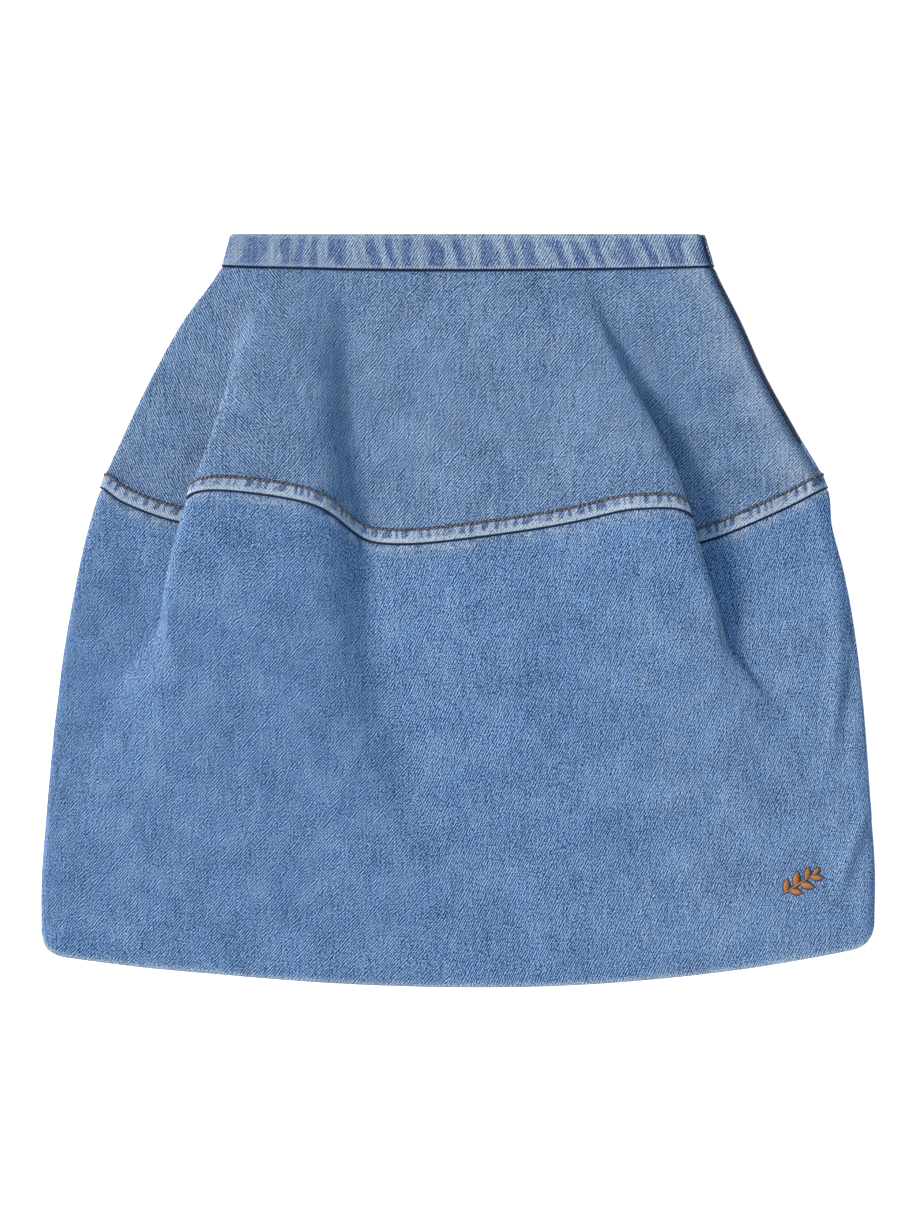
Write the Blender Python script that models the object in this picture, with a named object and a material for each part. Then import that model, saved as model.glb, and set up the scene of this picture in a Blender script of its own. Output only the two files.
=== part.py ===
"""A denim bubble mini skirt, laid flat on its back.

The skirt is one closed tube of cloth: a flat back on the floor, a front that lies on it in three soft folds, and
rounded sides. One function, skin(), gives any point of that tube, and every piece is a stretch of it with a wall.

Sizes are in millimetres, and MM turns them into Blender's metres when a mesh is made. +X is to the right as one looks
down on the front, +Y points to the waist and +Z up. The origin is on the floor, under the middle of the whole skirt.
"""

from collections import namedtuple

import bpy
import numpy as np

for leftover in list(bpy.data.objects):
    bpy.data.objects.remove(leftover, do_unlink=True)

MM = 0.001

# Cloth and making
DENIM = 1.6  # one layer
BAND_WALL = 2.8  # the waistband, folded double
HEM_WALL = 3.2  # cloth turned up inside the hem, two layers
HEM_TURN = 40.0  # how far the turned cloth reaches up inside
GAP = 0.3  # between two pieces that are sewn together
BAND_LIFT = 0.5  # the waistband's front stands proud of the yoke
ALLOWANCE = 11.5  # seam allowance pressed up behind the yoke's lower edge and stitched down
ALLOWANCE_LIFT = 1.0
STEP = 1.5  # length over which a thickness changes

# Lengths down the skirt, from the seam under the waistband
BAND_DROP = 22.0
YOKE_DROP = 153.0
HEM_DROP = 457.0

# Side zip, in the side seam at +X
ZIP_WIDTH = 2.8
ZIP_DROP = 120.0  # where it ends, down from the waistband
SLIDER_LENGTH = 7.5
SLIDER_LIFT = 0.6
COIL_SINK = -0.3

# Lines across the skirt
TOP_Y = 261.0
WAIST_Y = 236.4  # middle of the seam under the waistband
WAIST_RISE_LEFT, WAIST_RISE_RIGHT = 6.5, 4.4  # how much higher that seam ends at each side
BACK_SEAM_Y, SIDE_SEAM_Y = 52.0, 85.6
HEM_Y, HEM_MIDDLE_X = -260.7, 22.0
HEM_BEND_LEFT, HEM_BEND_RIGHT = 2.4e-4, 4.1e-4  # rise of the hem for each square millimetre from its middle
CORNER = 15.0  # radius of the hem's two corners
ROUND_STEP = np.radians(45)  # between guide points round a side
ROUND_REACH = 6 / (4 + 2 * np.cos(ROUND_STEP))  # how far out they lie, in radii, so that the curve meets the radius

# Where the skirt's sides and folds run, one row for each level down it. Lap is how far the two side folds are closed
# over the cloth beside them, from 0 to 1, and below 0 how far they have spread flat. The last five are heights of the
# outer face above the floor.
Level = namedtuple(
    "Level", "drop left ridge_left valley ridge_right right lap side hump_left dip middle hump_right"
)
LEVELS = (
    Level(-22, -159.4, -134.0, -78.0, 92.0, 172.6, 0.00, 6.8, 6.8, 6.8, 6.8, 6.8),
    Level(0, -165.3, -138.5, -78.0, 98.0, 178.9, 0.00, 6.8, 7.6, 6.8, 6.9, 7.2),
    Level(38, -192.1, -156.0, -76.5, 113.4, 197.7, 0.05, 6.2, 12.5, 6.5, 8.3, 11.0),
    Level(77, -214.4, -167.0, -74.0, 132.2, 215.8, 0.35, 5.8, 17.5, 6.8, 10.5, 16.0),
    Level(115, -233.2, -175.5, -69.0, 149.6, 237.3, 0.80, 6.0, 21.5, 7.3, 13.0, 20.5),
    Level(153, -249.9, -187.9, -62.0, 162.2, 258.2, 1.00, 6.5, 24.0, 7.8, 15.0, 24.0),
    Level(183, -259.2, -199.1, -60.0, 172.6, 261.7, 0.85, 6.5, 24.0, 8.0, 15.5, 23.5),
    Level(225, -268.5, -213.5, -57.6, 191.0, 272.5, 0.25, 6.6, 21.0, 8.3, 15.0, 20.2),
    Level(262, -275.0, -222.0, -49.0, 204.0, 278.5, -0.65, 6.8, 18.2, 8.3, 14.0, 16.0),
    Level(305, -280.8, -230.0, -38.0, 217.0, 283.3, -1.00, 7.0, 15.0, 8.3, 12.5, 12.8),
    Level(381, -288.1, -241.0, -18.0, 238.0, 288.8, -1.00, 7.6, 10.0, 8.2, 9.6, 10.0),
    Level(420, -291.0, -246.0, -12.0, 247.0, 291.3, -1.00, 8.2, 9.0, 8.3, 8.7, 9.0),
    Level(457, -291.2, -248.0, -9.0, 250.0, 290.9, -1.00, 8.4, 8.4, 8.4, 8.4, 8.4),
)

# Guide points across one side fold, from the low cloth beside it, through the turn tucked under it, round its nose and
# onto its top: places along X from the fold's line when it is open and when it is tucked, height from low (0) to high
# (1), and height of the cross seam from its low end (0) to its high end (1).
FoldPoint = namedtuple("FoldPoint", "wide open tucked rise seam")
FOLD = (
    FoldPoint(-26.0, -9.0, -14.0, 0.00, 0.00),
    FoldPoint(-24.0, -5.0, 4.0, 0.00, -0.10),
    FoldPoint(-22.0, -1.0, 16.0, 0.00, -0.25),
    FoldPoint(-13.0, 2.5, 16.5, 0.17, -0.15),
    FoldPoint(-10.0, 6.0, 3.0, 0.20, 0.30),
    FoldPoint(6.0, 9.5, -2.0, 0.55, 0.60),
    FoldPoint(24.0, 13.5, 1.0, 0.96, 0.90),
    FoldPoint(30.0, 18.0, 14.0, 1.03, 1.05),
    FoldPoint(36.0, 24.0, 34.0, 1.00, 1.00),
)
# Height of the cross seam on the low and on the high side of each fold
LEFT_FOLD_SEAM = (62.5, 83.0)
RIGHT_FOLD_SEAM = (48.0, 70.5)

# Guide points between the folds: where along X between two lines of Level, how high between two of its heights, and
# where the cross seam lies.
Span = namedtuple("Span", "start end share low high rise seam")
LEFT_SIDE = (
    Span("left", "ridge_left", 0.16, "side", "side", 0.0, 79.0),
    Span("left", "ridge_left", 0.30, "side", "side", 0.0, 74.0),
)
LEFT_HUMP = (
    Span("ridge_left", "valley", 0.55, "dip", "hump_left", 0.97, 78.5),
    Span("ridge_left", "valley", 0.76, "dip", "hump_left", 0.93, 72.0),
    Span("ridge_left", "valley", 0.88, "dip", "hump_left", 0.50, 58.0),
    Span("ridge_left", "valley", 0.965, "dip", "hump_left", 0.02, 49.5),
)
MIDDLE = (
    Span("valley", "ridge_right", 0.03, "dip", "middle", 0.05, 46.5),
    Span("valley", "ridge_right", 0.14, "dip", "middle", 0.50, 45.8),
    Span("valley", "ridge_right", 0.30, "dip", "middle", 0.95, 49.8),
    Span("valley", "ridge_right", 0.47, "middle", "hump_right", 0.10, 54.9),
    Span("valley", "ridge_right", 0.65, "middle", "hump_right", 0.45, 61.5),
    Span("valley", "ridge_right", 0.79, "middle", "hump_right", 0.85, 70.2),
)
RIGHT_SIDE = (
    Span("right", "ridge_right", 0.36, "side", "side", 0.0, 69.0),
    Span("right", "ridge_right", 0.21, "side", "side", 0.0, 76.0),
)
BACK_SHARES = (0.98, 0.94, 0.8, 0.62, 0.38, 0.2, 0.06, 0.02)  # guide points across the back, as shares of its width

# How finely the cloth is divided
FRONT_COLUMNS, SIDE_COLUMNS, BACK_COLUMNS, BAND_COLUMNS = 68, 8, 10, 44
YOKE_ROWS, SKIRT_ROWS, TURN_ROWS = 9, 14, 3
RIM_STEPS = 4
COLUMN_LENGTH, COLUMN_TURN = 18.0, 15.0  # millimetres and degrees that count the same when columns are spread
FINE_PLACES = 1200  # places that the spread is worked out on
SKIRT_ROW_GROWTH = 1.2  # rows lie closer together near the cross seam
SHARP_ANGLE = 40.0
PLACE_STEP, DROP_STEP = 0.02, 1.0  # steps that directions are measured over
DENIM_BLUE, NAVY = (0.15, 0.25, 0.43, 1.0), (0.02, 0.03, 0.09, 1.0)


def lerp(a, b, share):
    return a + (b - a) * share


def level_at(drop):
    """The row of LEVELS at any drop, on a smooth curve through the table."""
    table = np.array(LEVELS, float)
    drops = table[:, 0]
    slopes = np.gradient(table, drops, axis=0)
    i = int(np.clip(np.searchsorted(drops, drop) - 1, 0, len(drops) - 2))
    length = drops[i + 1] - drops[i]
    t = (drop - drops[i]) / length
    start, end = (1 + 2 * t) * (1 - t) ** 2, t * t * (3 - 2 * t)
    leave, arrive = t * (1 - t) ** 2 * length, t * t * (t - 1) * length
    return Level(*(start * table[i] + end * table[i + 1] + leave * slopes[i] + arrive * slopes[i + 1]))


def waist_y(x):
    """Height of the seam under the waistband, a shallow curve."""
    waist = level_at(0.0)
    share = x / (waist.left if x < 0 else waist.right)
    return WAIST_Y + (WAIST_RISE_LEFT if x < 0 else WAIST_RISE_RIGHT) * share**2


def hem_y(x):
    """Height of the hem, a shallow curve with a round corner at each side."""
    hem = LEVELS[-1]
    away = x - HEM_MIDDLE_X
    bend = HEM_BEND_LEFT if away < 0 else HEM_BEND_RIGHT
    inside = np.clip(min(x - hem.left, hem.right - x), 0, CORNER)
    return HEM_Y + bend * away**2 + CORNER - np.sqrt(CORNER**2 - (CORNER - inside) ** 2)


def back_seam_y(x):
    """Height of the cross seam on the back, a shallow curve between the sides."""
    side = level_at(YOKE_DROP)
    share = (x - lerp(side.left, side.right, 0.5)) / (side.right - side.left) * 2
    return lerp(BACK_SEAM_Y, SIDE_SEAM_Y, min(share**2, 1.0))


def span_points(spans, level):
    """Guide points of a run of rows of Span."""
    points = []
    for p in spans:
        x = lerp(getattr(level, p.start), getattr(level, p.end), p.share)
        points.append((x, lerp(getattr(level, p.low), getattr(level, p.high), p.rise), p.seam))
    return points


def fold_points(line, way, high, seam, level):
    """Guide points of one side fold, from its low side to its high side, which lies to way (1 right, -1 left)."""
    points = []
    for p in FOLD:
        x = line + way * lerp(p.open, p.tucked if level.lap > 0 else p.wide, abs(level.lap))
        points.append((x, lerp(level.side, high, p.rise), lerp(*seam, p.seam)))
    return points


def side_points(edge, way, side):
    """Guide points round one side, from the floor up, on a half circle as high as the skirt is thick there."""
    radius = side / 2
    round_about = [(np.cos(turn), np.sin(turn)) for turn in (-ROUND_STEP, 0.0, ROUND_STEP)]
    places = [(0.0, -1.0), *((ROUND_REACH * out, ROUND_REACH * up) for out, up in round_about), (0.0, 1.0)]
    return [(edge + way * radius * (out - 1), radius * (1 + up), SIDE_SEAM_Y) for out, up in places]


def ring_guides(level):
    """Guide points (x, z, cross seam height) of the closed ring at one level: up the left side, across the front, down
    the right side and back along the floor."""
    points = side_points(level.left, -1, level.side)
    points += span_points(LEFT_SIDE, level)
    points += fold_points(level.ridge_left, 1, level.hump_left, LEFT_FOLD_SEAM, level)
    points += span_points(LEFT_HUMP + MIDDLE, level)
    points += fold_points(level.ridge_right, -1, level.hump_right, RIGHT_FOLD_SEAM, level)[::-1]
    points += span_points(RIGHT_SIDE, level)
    points += side_points(level.right, 1, level.side)[::-1]
    for share in BACK_SHARES:
        x = lerp(level.left, level.right, share)
        points.append((x, 0, back_seam_y(x)))
    return np.array(points, float)


WAIST_GUIDES = ring_guides(level_at(0.0))
HEM_GUIDES = ring_guides(level_at(HEM_DROP))
WAIST_LINE = np.array([waist_y(x) for x in WAIST_GUIDES[:, 0]])
HEM_LINE = np.array([hem_y(x) for x in HEM_GUIDES[:, 0]])
RING = len(WAIST_GUIDES)  # places around the ring count its guide points
ZIP_PLACE = RING - len(BACK_SHARES) - 4.63  # on the front, just inside the right side
LEFT_SEAM_PLACE = 0.2  # under the left side
RIGHT_SEAM_PLACE = RING - len(BACK_SHARES) - 1.2  # under the right side, below the yoke
SLOT_CLEAR = 0.6  # places kept free beside the zip's slot


def skin(drop, places):
    """Points of the outer face at one drop and at places around the ring, on a closed cubic B-spline."""
    x, z, seam_line = ring_guides(level_at(drop)).T
    if drop < 0:
        y = lerp(WAIST_LINE, TOP_Y, -drop / BAND_DROP)
    elif drop < YOKE_DROP:
        y = lerp(WAIST_LINE, seam_line, drop / YOKE_DROP)
    else:
        y = lerp(seam_line, HEM_LINE, (drop - YOKE_DROP) / (HEM_DROP - YOKE_DROP))
    guides = np.stack([x, y, z], axis=1)
    places = np.asarray(places, float)
    first = np.floor(places).astype(int)
    t = (places - first)[:, None]
    weights = ((1 - t) ** 3, 3 * t**3 - 6 * t**2 + 4, -3 * t**3 + 3 * t**2 + 3 * t + 1, t**3)
    return sum(w * guides[(first + k - 1) % RING] for k, w in enumerate(weights)) / 6


def unit(vectors):
    return vectors / np.linalg.norm(vectors, axis=-1, keepdims=True)


def along(drop, places):
    """Direction around the ring, as the way for each place."""
    places = np.asarray(places, float)
    return (skin(drop, places + PLACE_STEP) - skin(drop, places - PLACE_STEP)) / (2 * PLACE_STEP)


def normals(drop, places):
    """Outward directions of the skin."""
    low, high = max(drop - DROP_STEP, -BAND_DROP), min(drop + DROP_STEP, HEM_DROP)
    return unit(np.cross(skin(high, places) - skin(low, places), along(drop, places)))


def beside(place, drop, distance):
    """The place that lies a distance around the ring from another."""
    return place + distance / np.linalg.norm(along(drop, [place])[0])


def rise_over(drop, start):
    """0 above the start, 1 a step below it."""
    return float(np.clip((drop - start) / STEP, 0, 1))


def evenly(drop, first, last, count):
    """Places between two seams of the ring at one drop, closer together where the cloth bends."""
    fine = np.linspace(first, last, FINE_PLACES)
    points = skin(drop, fine)
    steps = np.diff(points, axis=0)
    turn = np.arccos(np.clip((unit(steps[1:]) * unit(steps[:-1])).sum(axis=1), -1, 1))
    effort = np.linalg.norm(steps[1:], axis=1) / COLUMN_LENGTH + np.degrees(turn) / COLUMN_TURN
    measure = np.concatenate([[0], np.cumsum(effort)])
    return np.interp(np.linspace(0, measure[-1], count + 2)[1:-1], measure, fine[:-1][: len(measure)])


def rim(outer, inner, outward):
    """Rows that round the edge of a wall over, from its outer to its inner face."""
    middle, half = (outer + inner) / 2, (outer - inner) / 2
    reach = np.linalg.norm(half, axis=1, keepdims=True) * outward
    angles = np.linspace(0, np.pi, RIM_STEPS + 1)[1:-1]
    return [middle + np.cos(a) * half + np.sin(a) * reach for a in angles]


def draw_back(outer, inner, outward):
    """Moves a sewn edge into its own piece, by half the gap of the seam."""
    outer -= GAP / 2 * outward
    inner -= GAP / 2 * outward


def wall_solid(name, material, drops, places_at, wall_at, lift_at, round_top=False, round_hem=False):
    """One piece: a stretch of the skin, from the first to the last drop, with a wall under it and closed all round.
    Where the cloth is doubled, it thins to one layer round the sides."""
    outer, inner, downs = [], [], []
    for drop in drops:
        places = places_at(drop)
        facing = normals(drop, places)
        lift = lift_at(drop) * np.clip(facing[:, 2:], 0, 1)
        row = skin(drop, places) + lift * facing
        outer.append(row)
        flatness = np.abs(facing[:, 2:])
        wall = lerp(DENIM, wall_at(drop), flatness**4)
        inner.append(row - (wall + lift) * facing)
        downs.append(unit(np.cross(along(drop, places), facing)))
    up, down = -downs[0], downs[-1]
    bottom, top = [], []
    if round_hem:
        bottom = rim(outer[-1], inner[-1], down)
    else:
        draw_back(outer[-1], inner[-1], down)
    if round_top:
        top = rim(inner[0], outer[0], up)
    else:
        draw_back(outer[0], inner[0], up)
    grid = np.array(outer + bottom + inner[::-1] + top)
    rows, columns = grid.shape[:2]
    number = np.arange(rows * columns).reshape(rows, columns)
    faces = []
    for this, following in zip(number, np.roll(number, -1, axis=0)):
        faces += [(this[c], following[c], following[c + 1], this[c + 1]) for c in range(columns - 1)]
    faces += end_faces(number[:, 0], len(drops), len(bottom))
    faces += [face[::-1] for face in end_faces(number[:, -1], len(drops), len(bottom))]
    mesh = bpy.data.meshes.new(name)
    mesh.from_pydata((grid.reshape(-1, 3) * MM).tolist(), [], [[int(i) for i in face] for face in faces])
    mesh.shade_smooth()
    mesh.set_sharp_from_angle(angle=np.radians(SHARP_ANGLE))
    mesh.materials.append(material)
    piece = bpy.data.objects.new(name, mesh)
    bpy.context.scene.collection.objects.link(piece)
    return piece


def end_faces(loop, rows, bottom):
    """Faces that close one end of a wall. The loop runs down its outer face, over a bottom rim, up its inner face and
    over a top rim."""
    facing = loop[rows + bottom : 2 * rows + bottom][::-1]
    faces = [(loop[r], facing[r], facing[r + 1], loop[r + 1]) for r in range(rows - 1)]
    if bottom:
        faces.append(tuple(loop[rows - 1 : rows + bottom + 1][::-1]))
    if len(loop) > 2 * rows + bottom:
        faces.append((loop[0], *loop[2 * rows + bottom - 1 :][::-1]))
    return faces


def cloth(name, colour, roughness):
    material = bpy.data.materials.new(name)
    material.use_nodes = True
    shader = material.node_tree.nodes["Principled BSDF"]
    shader.inputs["Base Color"].default_value = colour
    shader.inputs["Roughness"].default_value = roughness
    return material


def sewn(drop):
    """Half the gap of a seam between two pieces."""
    return GAP / 2


def slot(drop):
    """Half the width of the opening that the zip takes in the side seam, or of the plain seam below it."""
    return ZIP_WIDTH / 2 + GAP if drop <= ZIP_DROP else sewn(drop)


def stretch(first, first_half, last, last_half, inner):
    """A function that gives a piece's places around the ring at any drop: from one seam to another."""

    def places_at(drop):
        return np.array([beside(first, drop, first_half(drop)), *inner, beside(last, drop, -last_half(drop))])

    return places_at


def zip_places(drop):
    half = ZIP_WIDTH / 2
    return np.array([beside(ZIP_PLACE, drop, way * half) for way in (-1, 0, 1)])


def one_layer(drop):
    return DENIM


def no_lift(drop):
    return 0.0


def hem_wall(drop):
    return lerp(DENIM, HEM_WALL, rise_over(drop, HEM_DROP - HEM_TURN))


def allowance_lift(drop):
    return ALLOWANCE_LIFT * rise_over(drop, YOKE_DROP - ALLOWANCE)


def build():
    denim = cloth("denim", DENIM_BLUE, 0.85)
    navy = cloth("navy_tape", NAVY, 0.6)
    enamel = cloth("navy_enamel", NAVY, 0.35)
    slider_end = SLIDER_LENGTH - BAND_DROP
    band = (-BAND_DROP, slider_end, 0.0)
    fold_line = YOKE_DROP - ALLOWANCE
    yoke = (*np.linspace(0, ZIP_DROP, YOKE_ROWS), ZIP_DROP + STEP, fold_line, fold_line + STEP, YOKE_DROP)
    turn = HEM_DROP - HEM_TURN
    shares = np.linspace(0, 1, SKIRT_ROWS) ** SKIRT_ROW_GROWTH
    skirt = (*lerp(YOKE_DROP, turn, shares), *np.linspace(turn + STEP, HEM_DROP, TURN_ROWS))
    coil = (slider_end, *np.linspace(0, ZIP_DROP, YOKE_ROWS))
    next_left_seam, next_zip = LEFT_SEAM_PLACE + RING, ZIP_PLACE + RING
    front = evenly(YOKE_DROP, LEFT_SEAM_PLACE, ZIP_PLACE - SLOT_CLEAR, FRONT_COLUMNS)
    side = evenly(YOKE_DROP, ZIP_PLACE + SLOT_CLEAR, RIGHT_SEAM_PLACE, SIDE_COLUMNS)
    back = evenly(YOKE_DROP, RIGHT_SEAM_PLACE, next_left_seam, BACK_COLUMNS)
    round_waist = evenly(0.0, ZIP_PLACE + SLOT_CLEAR, next_zip - SLOT_CLEAR, BAND_COLUMNS)
    around = stretch(ZIP_PLACE, slot, next_zip, slot, round_waist)
    yoke_front = stretch(LEFT_SEAM_PLACE, sewn, ZIP_PLACE, slot, front)
    yoke_back = stretch(ZIP_PLACE, slot, next_left_seam, sewn, (*side, RIGHT_SEAM_PLACE, *back))
    skirt_front = stretch(LEFT_SEAM_PLACE, sewn, RIGHT_SEAM_PLACE, sewn, (*front, ZIP_PLACE, *side))
    skirt_back = stretch(RIGHT_SEAM_PLACE, sewn, next_left_seam, sewn, back)
    wall_solid("waistband", denim, band, around, lambda d: BAND_WALL, lambda d: BAND_LIFT, round_top=True)
    wall_solid("yoke_front", denim, yoke, yoke_front, one_layer, allowance_lift)
    wall_solid("yoke_back", denim, yoke, yoke_back, one_layer, allowance_lift)
    wall_solid("skirt_front", denim, skirt, skirt_front, hem_wall, no_lift, round_hem=True)
    wall_solid("skirt_back", denim, skirt, skirt_back, hem_wall, no_lift, round_hem=True)
    wall_solid("side_zip", navy, coil, zip_places, one_layer, lambda d: COIL_SINK)
    wall_solid("zip_slider", enamel, (-BAND_DROP, slider_end), zip_places, one_layer, lambda d: SLIDER_LIFT)


build()
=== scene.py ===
# %% [markdown]
# # A denim bubble mini skirt, laid flat on its back
# The skirt is a tube of washed denim: a band at the waist, a yoke with two soft folds, and a full lower part whose
# hem is turned up inside. It lies on a table, so its back is flat and its front rests on the back. Everything is
# placed in the frame of the finished model, in metres, so that each piece of cloth sits where its solid does.

# %% Load the frame
from collections import namedtuple

import bpy
import numpy as np
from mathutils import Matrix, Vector


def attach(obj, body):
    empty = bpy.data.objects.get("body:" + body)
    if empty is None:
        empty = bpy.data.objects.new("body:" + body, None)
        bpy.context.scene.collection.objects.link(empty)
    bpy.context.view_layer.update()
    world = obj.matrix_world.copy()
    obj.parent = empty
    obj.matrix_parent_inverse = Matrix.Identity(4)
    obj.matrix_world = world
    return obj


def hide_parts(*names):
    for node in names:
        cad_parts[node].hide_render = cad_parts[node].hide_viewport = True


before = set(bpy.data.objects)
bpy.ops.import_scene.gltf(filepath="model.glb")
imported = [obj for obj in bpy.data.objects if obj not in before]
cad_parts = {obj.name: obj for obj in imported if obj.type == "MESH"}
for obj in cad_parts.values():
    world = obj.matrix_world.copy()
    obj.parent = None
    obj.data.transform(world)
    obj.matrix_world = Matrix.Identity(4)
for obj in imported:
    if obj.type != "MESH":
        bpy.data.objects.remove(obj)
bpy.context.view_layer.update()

MM = 0.001
print("nodes:", sorted(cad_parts))

# %% [markdown]
# ## The skirt's lines
# A pattern cutter marks where the sides, folds and seams run at a few levels, and draws smooth curves between them.
# The same tables do that here, in millimetres. Drop is the way down from the seam under the waistband. Lap says how
# far the two side folds are closed over the cloth beside them or, below 0, how far they have spread flat. The last
# five columns are heights above the table.

# %% Levels down the skirt
BAND_DROP, YOKE_DROP, HEM_DROP = 22.0, 153.0, 457.0
TOP_Y, WAIST_Y, HEM_Y, HEM_MIDDLE_X = 262.3, 238.6, -261.4, 22.0
WAIST_RISE_LEFT, WAIST_RISE_RIGHT = 3.0, 2.6
HEM_BEND_LEFT, HEM_BEND_RIGHT, CORNER = 2.4e-4, 4.1e-4, 15.0
BACK_SEAM_Y, SIDE_SEAM_Y = 52.0, 85.6

Level = namedtuple("Level", "drop left ridge_left valley ridge_right right lap side hump_left dip middle hump_right")
LEVELS = (
    Level(-22, -159.4, -134.0, -78.0, 92.0, 172.6, 0.00, 6.8, 6.8, 6.8, 6.8, 6.8),
    Level(0, -165.3, -138.5, -78.0, 98.0, 178.9, 0.00, 6.8, 7.6, 6.8, 6.9, 7.2),
    Level(38, -192.1, -156.0, -76.5, 113.4, 197.7, 0.05, 6.2, 12.5, 6.5, 8.3, 11.0),
    Level(77, -214.4, -167.0, -74.0, 132.2, 215.8, 0.35, 5.8, 17.5, 6.8, 10.5, 16.0),
    Level(115, -233.2, -175.5, -69.0, 149.6, 237.3, 0.80, 6.0, 21.5, 7.3, 13.0, 20.5),
    Level(153, -249.9, -187.9, -62.0, 162.2, 258.2, 1.00, 6.5, 24.0, 7.8, 15.0, 24.0),
    Level(183, -259.2, -199.1, -60.0, 172.6, 261.7, 0.85, 6.5, 24.0, 8.0, 15.5, 23.5),
    Level(225, -268.5, -213.5, -57.6, 191.0, 272.5, 0.25, 6.6, 21.0, 8.3, 15.0, 20.2),
    Level(262, -275.0, -222.0, -49.0, 204.0, 278.5, -0.65, 6.8, 18.2, 8.3, 14.0, 16.0),
    Level(305, -280.8, -230.0, -38.0, 217.0, 283.3, -1.00, 7.0, 15.0, 8.3, 12.5, 12.8),
    Level(381, -288.1, -241.0, -18.0, 238.0, 288.8, -1.00, 7.6, 10.0, 8.2, 9.6, 10.0),
    Level(420, -291.0, -246.0, -12.0, 247.0, 291.3, -1.00, 8.2, 9.0, 8.3, 8.7, 9.0),
    Level(457, -291.2, -248.0, -9.0, 250.0, 290.9, -1.00, 8.4, 8.4, 8.4, 8.4, 8.4),
)
print("levels:", len(LEVELS), "| width at the hem in mm:", round(LEVELS[-1].right - LEVELS[-1].left))

# %% [markdown]
# A side fold is a rounded pleat: the cloth beside it stays low, turns back under the fold, comes round its nose and
# runs on along its top. Nine guide points describe that turn once, spread, open and closed, for both folds.

# %% Guide points across the folds and between them
FoldPoint = namedtuple("FoldPoint", "wide open tucked rise seam")
FOLD = (
    FoldPoint(-26.0, -9.0, -14.0, 0.00, 0.00),
    FoldPoint(-24.0, -5.0, 4.0, 0.00, -0.10),
    FoldPoint(-22.0, -1.0, 16.0, 0.00, -0.25),
    FoldPoint(-13.0, 2.5, 16.5, 0.17, -0.15),
    FoldPoint(-10.0, 6.0, 3.0, 0.20, 0.30),
    FoldPoint(6.0, 9.5, -2.0, 0.55, 0.60),
    FoldPoint(24.0, 13.5, 1.0, 0.96, 0.90),
    FoldPoint(30.0, 18.0, 14.0, 1.03, 1.05),
    FoldPoint(36.0, 24.0, 34.0, 1.00, 1.00),
)
LEFT_FOLD_SEAM, RIGHT_FOLD_SEAM = (62.5, 83.0), (48.0, 70.5)

# Share is the way from one line of the level to the next, rise the way from its low height to its high one, and seam
# where the cross seam runs.
Span = namedtuple("Span", "share low high rise seam")
LEFT_SIDE = (
    Span(0.16, "side", "side", 0.0, 79.0),
    Span(0.30, "side", "side", 0.0, 74.0),
)
LEFT_HUMP = (
    Span(0.55, "dip", "hump_left", 0.97, 78.5),
    Span(0.76, "dip", "hump_left", 0.93, 72.0),
    Span(0.88, "dip", "hump_left", 0.50, 58.0),
    Span(0.965, "dip", "hump_left", 0.02, 49.5),
)
MIDDLE = (
    Span(0.03, "dip", "middle", 0.05, 46.5),
    Span(0.14, "dip", "middle", 0.50, 45.8),
    Span(0.30, "dip", "middle", 0.95, 49.8),
    Span(0.47, "middle", "hump_right", 0.10, 54.9),
    Span(0.65, "middle", "hump_right", 0.45, 61.5),
    Span(0.79, "middle", "hump_right", 0.85, 70.2),
)
RIGHT_SIDE = (
    Span(0.36, "side", "side", 0.0, 69.0),
    Span(0.21, "side", "side", 0.0, 76.0),
)
BACK_SHARES = (0.98, 0.94, 0.8, 0.62, 0.38, 0.2, 0.06, 0.02)
print("guide points in a fold:", len(FOLD), "| between the folds:", len(LEFT_HUMP + MIDDLE))

# %% [markdown]
# A level between two rows of the table is read off a smooth curve, so that a fold opens little by little. The waist,
# the hem and the seam on the back bend gently, each by a sum of its own.

# %% Smooth curves through the tables
def lerp(a, b, share):
    return a + (b - a) * share


def level_at(drop):
    """The row of LEVELS at any drop, on a smooth curve through the table."""
    table = np.array(LEVELS, float)
    drops = table[:, 0]
    slopes = np.gradient(table, drops, axis=0)
    i = int(np.clip(np.searchsorted(drops, drop) - 1, 0, len(drops) - 2))
    length = drops[i + 1] - drops[i]
    t = (drop - drops[i]) / length
    start, end = (1 + 2 * t) * (1 - t) ** 2, t * t * (3 - 2 * t)
    leave, arrive = t * (1 - t) ** 2 * length, t * t * (t - 1) * length
    return Level(*(start * table[i] + end * table[i + 1] + leave * slopes[i] + arrive * slopes[i + 1]))


def waist_y(x):
    waist = level_at(0.0)
    share = x / (waist.left if x < 0 else waist.right)
    return WAIST_Y + (WAIST_RISE_LEFT if x < 0 else WAIST_RISE_RIGHT) * share**2


def hem_y(x):
    hem, away = LEVELS[-1], x - HEM_MIDDLE_X
    bend = HEM_BEND_LEFT if away < 0 else HEM_BEND_RIGHT
    inside = np.clip(min(x - hem.left, hem.right - x), 0, CORNER)
    return HEM_Y + bend * away**2 + CORNER - np.sqrt(CORNER**2 - (CORNER - inside) ** 2)


def back_seam_y(x):
    side = level_at(YOKE_DROP)
    share = (x - lerp(side.left, side.right, 0.5)) / (side.right - side.left) * 2
    return lerp(BACK_SEAM_Y, SIDE_SEAM_Y, min(share**2, 1.0))


print("the folds lap most at the cross seam:", round(float(level_at(YOKE_DROP).lap), 2))

# %% [markdown]
# At one level the guide points form a closed ring: up the left side, across the front, down the right side and back
# along the table. A place is a number that counts the guide points passed since the left side.

# %% The closed ring of guide points
ROUND_STEP = np.radians(45)
ROUND_REACH = 6 / (4 + 2 * np.cos(ROUND_STEP))


def span_points(spans, start, end, level):
    """Guide points of one stretch of cloth, between two of the level's lines."""
    rises = [lerp(getattr(level, p.low), getattr(level, p.high), p.rise) for p in spans]
    return [(lerp(start, end, p.share), rise, p.seam) for p, rise in zip(spans, rises)]


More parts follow.
